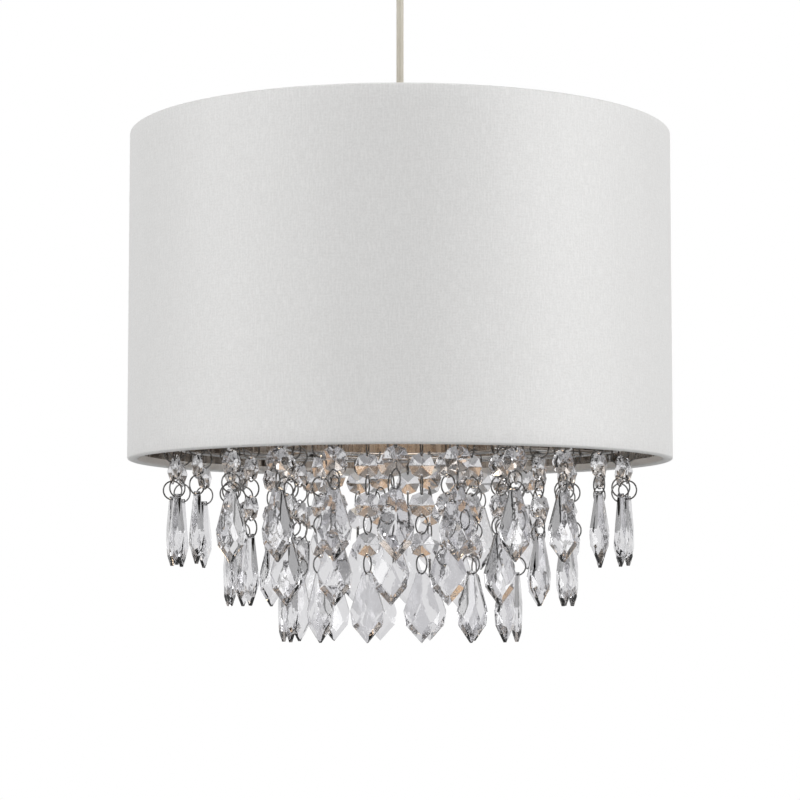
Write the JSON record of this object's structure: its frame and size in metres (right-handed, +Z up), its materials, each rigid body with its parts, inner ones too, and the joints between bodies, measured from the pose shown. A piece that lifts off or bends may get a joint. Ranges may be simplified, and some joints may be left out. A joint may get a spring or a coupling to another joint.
{
  "type": "pendant light",
  "caption": "Drum shade pendant on a flex from a ceiling rose, with three tiers of faceted droplets hanging from rings in its open bottom.",
  "frame": {"origin": "middle of the ceiling rose's flat back, on the ceiling", "axes": "+Z up, along the flex and the shade's axis; -Y is the front that the picture shows; +X to the right"},
  "size_m": [0.3, 0.3, 0.4056],
  "materials": {
    "white_plastic": "moulded white, slightly glossy",
    "dark_plastic": "moulded brown insulation",
    "cream_flex": "smooth cream sheath",
    "brass": "turned",
    "nickel": "pressed, satin",
    "opal_glass": "opal, lit warm",
    "fabric": "off-white slub weave with a silky sheen",
    "silver_lining": "silver metallic film",
    "white_metal": "white coated wire",
    "chrome": "bright plated wire",
    "crystal": "clear cut acrylic with chrome link rings"
  },
  "bodies": {
    "rose": {"rose_base": "white_plastic", "rose_terminal_block": "white_plastic", "flex_tail": "cream_flex"},
    "rose_cover": {"rose_cover": "white_plastic"},
    "flex": {"flex": "cream_flex"},
    "lampholder": {"lampholder_cap": "white_plastic", "lampholder_body": "white_plastic", "contact_block": "dark_plastic", "reducer_ring": "white_plastic"},
    "plunger_left": {"plunger_left": "brass"},
    "plunger_right": {"plunger_right": "brass"},
    "retaining_ring": {"retaining_ring": "white_plastic"},
    "lamp": {"lamp_cap": "nickel", "lamp_glass": "opal_glass"},
    "shade": {"shade_fabric": "fabric", "shade_lining": "silver_lining", "spider_frame": "white_metal", "bottom_frame": "chrome", "middle_tier": "crystal"},
    "outer_strand_01": {"outer_strand_01": "crystal"},
    "outer_strand_02": {"outer_strand_02": "crystal"},
    "outer_strand_03": {"outer_strand_03": "crystal"},
    "outer_strand_04": {"outer_strand_04": "crystal"},
    "outer_strand_05": {"outer_strand_05": "crystal"},
    "outer_strand_06": {"outer_strand_06": "crystal"},
    "outer_strand_07": {"outer_strand_07": "crystal"},
    "outer_strand_08": {"outer_strand_08": "crystal"},
    "outer_strand_09": {"outer_strand_09": "crystal"},
    "outer_strand_10": {"outer_strand_10": "crystal"},
    "outer_strand_11": {"outer_strand_11": "crystal"},
    "outer_strand_12": {"outer_strand_12": "crystal"},
    "outer_strand_13": {"outer_strand_13": "crystal"},
    "outer_strand_14": {"outer_strand_14": "crystal"},
    "outer_strand_15": {"outer_strand_15": "crystal"},
    "outer_strand_16": {"outer_strand_16": "crystal"},
    "outer_strand_17": {"outer_strand_17": "crystal"},
    "outer_strand_18": {"outer_strand_18": "crystal"},
    "outer_strand_19": {"outer_strand_19": "crystal"},
    "outer_strand_20": {"outer_strand_20": "crystal"},
    "outer_strand_21": {"outer_strand_21": "crystal"},
    "outer_strand_22": {"outer_strand_22": "crystal"},
    "outer_strand_23": {"outer_strand_23": "crystal"},
    "outer_strand_24": {"outer_strand_24": "crystal"},
    "outer_strand_25": {"outer_strand_25": "crystal"},
    "inner_strand_01": {"inner_strand_01": "crystal"},
    "inner_strand_02": {"inner_strand_02": "crystal"},
    "inner_strand_03": {"inner_strand_03": "crystal"},
    "inner_strand_04": {"inner_strand_04": "crystal"},
    "inner_strand_05": {"inner_strand_05": "crystal"},
    "inner_strand_06": {"inner_strand_06": "crystal"},
    "inner_strand_07": {"inner_strand_07": "crystal"},
    "inner_strand_08": {"inner_strand_08": "crystal"},
    "inner_strand_09": {"inner_strand_09": "crystal"},
    "inner_strand_10": {"inner_strand_10": "crystal"},
    "inner_strand_11": {"inner_strand_11": "crystal"},
    "inner_strand_12": {"inner_strand_12": "crystal"},
    "inner_strand_13": {"inner_strand_13": "crystal"},
    "inner_strand_14": {"inner_strand_14": "crystal"}
  },
  "joints": [
    {"name": "cover_lower", "type": "slide", "parent": "rose", "child": "rose_cover", "axis": [0, 0, -1], "range_m": [0, 0.006]},
    {"name": "pendant_swing", "type": "hinge", "parent": "rose", "child": "flex", "pos_m": [0, 0, -0.034], "axis": [0, 1, 0], "range_deg": [-15, 15]},
    {"name": "shade_rock", "type": "hinge", "parent": "flex", "child": "lampholder", "pos_m": [0, 0, -0.114], "axis": [1, 0, 0], "range_deg": [-10, 10]},
    {"name": "retaining_ring_turn", "type": "hinge", "parent": "lampholder", "child": "retaining_ring", "pos_m": [0, 0, -0.151], "axis": [0, 0, 1], "continuous": true},
    {"name": "shade_turn", "type": "hinge", "parent": "lampholder", "child": "shade", "pos_m": [0, 0, -0.1477], "axis": [0, 0, 1], "continuous": true},
    {"name": "lamp_turn", "type": "hinge", "parent": "lampholder", "child": "lamp", "pos_m": [0, 0, -0.147], "axis": [0, 0, -1], "range_deg": [0, 22]},
    {"name": "plunger_left_press", "type": "slide", "parent": "lampholder", "child": "plunger_left", "axis": [0, 0, 1], "range_m": [0, 0.002], "stiffness_N_per_m": 900, "springref_m": -0.002},
    {"name": "plunger_right_press", "type": "slide", "parent": "lampholder", "child": "plunger_right", "axis": [0, 0, 1], "range_m": [0, 0.002], "stiffness_N_per_m": 900, "springref_m": -0.002},
    {"name": "outer_strand_01_swing", "type": "hinge", "parent": "shade", "child": "outer_strand_01", "pos_m": [-0.00218, -0.12498, -0.2987], "axis": [-0.9998, 0.0175, 0], "range_deg": [-12, 25]},
    {"name": "outer_strand_02_swing", "type": "hinge", "parent": "shade", "child": "outer_strand_02", "pos_m": [0.02897, -0.1216, -0.2987], "axis": [-0.9728, -0.2317, 0], "range_deg": [-12, 25]},
    {"name": "outer_strand_03_swing", "type": "hinge", "parent": "shade", "child": "outer_strand_03", "pos_m": [0.0583, -0.11057, -0.2987], "axis": [-0.8846, -0.4664, 0], "range_deg": [-12, 25]},
    {"name": "outer_strand_04_swing", "type": "hinge", "parent": "shade", "child": "outer_strand_04", "pos_m": [0.08396, -0.0926, -0.2987], "axis": [-0.7408, -0.6717, 0], "range_deg": [-12, 25]},
    {"name": "outer_strand_05_swing", "type": "hinge", "parent": "shade", "child": "outer_strand_05", "pos_m": [0.10436, -0.06881, -0.2987], "axis": [-0.5505, -0.8348, 0], "range_deg": [-12, 25]},
    {"name": "outer_strand_06_swing", "type": "hinge", "parent": "shade", "child": "outer_strand_06", "pos_m": [0.11819, -0.0407, -0.2987], "axis": [-0.3256, -0.9455, 0], "range_deg": [-12, 25]},
    {"name": "outer_strand_07_swing", "type": "hinge", "parent": "shade", "child": "outer_strand_07", "pos_m": [0.1246, -0.01002, -0.2987], "axis": [-0.0802, -0.9968, 0], "range_deg": [-12, 25]},
    {"name": "outer_strand_08_swing", "type": "hinge", "parent": "shade", "child": "outer_strand_08", "pos_m": [0.12318, 0.02128, -0.2987], "axis": [0.1702, -0.9854, 0], "range_deg": [-12, 25]},
    {"name": "outer_strand_09_swing", "type": "hinge", "parent": "shade", "child": "outer_strand_09", "pos_m": [0.11402, 0.05124, -0.2987], "axis": [0.4099, -0.9121, 0], "range_deg": [-12, 25]},
    {"name": "outer_strand_10_swing", "type": "hinge", "parent": "shade", "child": "outer_strand_10", "pos_m": [0.09769, 0.07798, -0.2987], "axis": [0.6239, -0.7815, 0], "range_deg": [-12, 25]},
    {"name": "outer_strand_11_swing", "type": "hinge", "parent": "shade", "child": "outer_strand_11", "pos_m": [0.07523, 0.09983, -0.2987], "axis": [0.7986, -0.6018, 0], "range_deg": [-12, 25]},
    {"name": "outer_strand_12_swing", "type": "hinge", "parent": "shade", "child": "outer_strand_12", "pos_m": [0.04804, 0.1154, -0.2987], "axis": [0.9232, -0.3843, 0], "range_deg": [-12, 25]},
    {"name": "outer_strand_13_swing", "type": "hinge", "parent": "shade", "child": "outer_strand_13", "pos_m": [0.01783, 0.12372, -0.2987], "axis": [0.9898, -0.1426, 0], "range_deg": [-12, 25]},
    {"name": "outer_strand_14_swing", "type": "hinge", "parent": "shade", "child": "outer_strand_14", "pos_m": [-0.0135, 0.12427, -0.2987], "axis": [0.9942, 0.108, 0], "range_deg": [-12, 25]},
    {"name": "outer_strand_15_swing", "type": "hinge", "parent": "shade", "child": "outer_strand_15", "pos_m": [-0.04398, 0.11701, -0.2987], "axis": [0.9361, 0.3518, 0], "range_deg": [-12, 25]},
    {"name": "outer_strand_16_swing", "type": "hinge", "parent": "shade", "child": "outer_strand_16", "pos_m": [-0.0717, 0.10239, -0.2987], "axis": [0.8192, 0.5736, 0], "range_deg": [-12, 25]},
    {"name": "outer_strand_17_swing", "type": "hinge", "parent": "shade", "child": "outer_strand_17", "pos_m": [-0.09491, 0.08135, -0.2987], "axis": [0.6508, 0.7593, 0], "range_deg": [-12, 25]},
    {"name": "outer_strand_18_swing", "type": "hinge", "parent": "shade", "child": "outer_strand_18", "pos_m": [-0.11216, 0.05519, -0.2987], "axis": [0.4415, 0.8973, 0], "range_deg": [-12, 25]},
    {"name": "outer_strand_19_swing", "type": "hinge", "parent": "shade", "child": "outer_strand_19", "pos_m": [-0.12236, 0.02556, -0.2987], "axis": [0.2045, 0.9789, 0], "range_deg": [-12, 25]},
    {"name": "outer_strand_20_swing", "type": "hinge", "parent": "shade", "child": "outer_strand_20", "pos_m": [-0.12487, -0.00567, -0.2987], "axis": [-0.0454, 0.999, 0], "range_deg": [-12, 25]},
    {"name": "outer_strand_21_swing", "type": "hinge", "parent": "shade", "child": "outer_strand_21", "pos_m": [-0.11954, -0.03655, -0.2987], "axis": [-0.2924, 0.9563, 0], "range_deg": [-12, 25]},
    {"name": "outer_strand_22_swing", "type": "hinge", "parent": "shade", "child": "outer_strand_22", "pos_m": [-0.10669, -0.06513, -0.2987], "axis": [-0.521, 0.8536, 0], "range_deg": [-12, 25]},
    {"name": "outer_strand_23_swing", "type": "hinge", "parent": "shade", "child": "outer_strand_23", "pos_m": [-0.08715, -0.08961, -0.2987], "axis": [-0.7169, 0.6972, 0], "range_deg": [-12, 25]},
    {"name": "outer_strand_24_swing", "type": "hinge", "parent": "shade", "child": "outer_strand_24", "pos_m": [-0.06212, -0.10847, -0.2987], "axis": [-0.8678, 0.497, 0], "range_deg": [-12, 25]},
    {"name": "outer_strand_25_swing", "type": "hinge", "parent": "shade", "child": "outer_strand_25", "pos_m": [-0.0332, -0.12051, -0.2987], "axis": [-0.9641, 0.2656, 0], "range_deg": [-12, 25]},
    {"name": "inner_strand_01_swing", "type": "hinge", "parent": "shade", "child": "inner_strand_01", "pos_m": [-0.0171, -0.06167, -0.2987], "axis": [-0.9636, 0.2672, 0], "range_deg": [-12, 12]},
    {"name": "inner_strand_02_swing", "type": "hinge", "parent": "shade", "child": "inner_strand_02", "pos_m": [0.01135, -0.06299, -0.2987], "axis": [-0.9842, -0.1773, 0], "range_deg": [-12, 12]},
    {"name": "inner_strand_03_swing", "type": "hinge", "parent": "shade", "child": "inner_strand_03", "pos_m": [0.03755, -0.05182, -0.2987], "axis": [-0.8097, -0.5868, 0], "range_deg": [-12, 12]},
    {"name": "inner_strand_04_swing", "type": "hinge", "parent": "shade", "child": "inner_strand_04", "pos_m": [0.05632, -0.0304, -0.2987], "axis": [-0.475, -0.88, 0], "range_deg": [-12, 12]},
    {"name": "inner_strand_05_swing", "type": "hinge", "parent": "shade", "child": "inner_strand_05", "pos_m": [0.06393, -0.00295, -0.2987], "axis": [-0.0461, -0.9989, 0], "range_deg": [-12, 12]},
    {"name": "inner_strand_06_swing", "type": "hinge", "parent": "shade", "child": "inner_strand_06", "pos_m": [0.05888, 0.02508, -0.2987], "axis": [0.3919, -0.92, 0], "range_deg": [-12, 12]},
    {"name": "inner_strand_07_swing", "type": "hinge", "parent": "shade", "child": "inner_strand_07", "pos_m": [0.04217, 0.04814, -0.2987], "axis": [0.7523, -0.6589, 0], "range_deg": [-12, 12]},
    {"name": "inner_strand_08_swing", "type": "hinge", "parent": "shade", "child": "inner_strand_08", "pos_m": [0.0171, 0.06167, -0.2987], "axis": [0.9636, -0.2672, 0], "range_deg": [-12, 12]},
    {"name": "inner_strand_09_swing", "type": "hinge", "parent": "shade", "child": "inner_strand_09", "pos_m": [-0.01135, 0.06299, -0.2987], "axis": [0.9842, 0.1773, 0], "range_deg": [-12, 12]},
    {"name": "inner_strand_10_swing", "type": "hinge", "parent": "shade", "child": "inner_strand_10", "pos_m": [-0.03755, 0.05182, -0.2987], "axis": [0.8097, 0.5868, 0], "range_deg": [-12, 12]},
    {"name": "inner_strand_11_swing", "type": "hinge", "parent": "shade", "child": "inner_strand_11", "pos_m": [-0.05632, 0.0304, -0.2987], "axis": [0.475, 0.88, 0], "range_deg": [-12, 12]},
    {"name": "inner_strand_12_swing", "type": "hinge", "parent": "shade", "child": "inner_strand_12", "pos_m": [-0.06393, 0.00295, -0.2987], "axis": [0.0461, 0.9989, 0], "range_deg": [-12, 12]},
    {"name": "inner_strand_13_swing", "type": "hinge", "parent": "shade", "child": "inner_strand_13", "pos_m": [-0.05888, -0.02508, -0.2987], "axis": [-0.3919, 0.92, 0], "range_deg": [-12, 12]},
    {"name": "inner_strand_14_swing", "type": "hinge", "parent": "shade", "child": "inner_strand_14", "pos_m": [-0.04217, -0.04814, -0.2987], "axis": [-0.7523, 0.6589, 0], "range_deg": [-12, 12]}
  ]
}
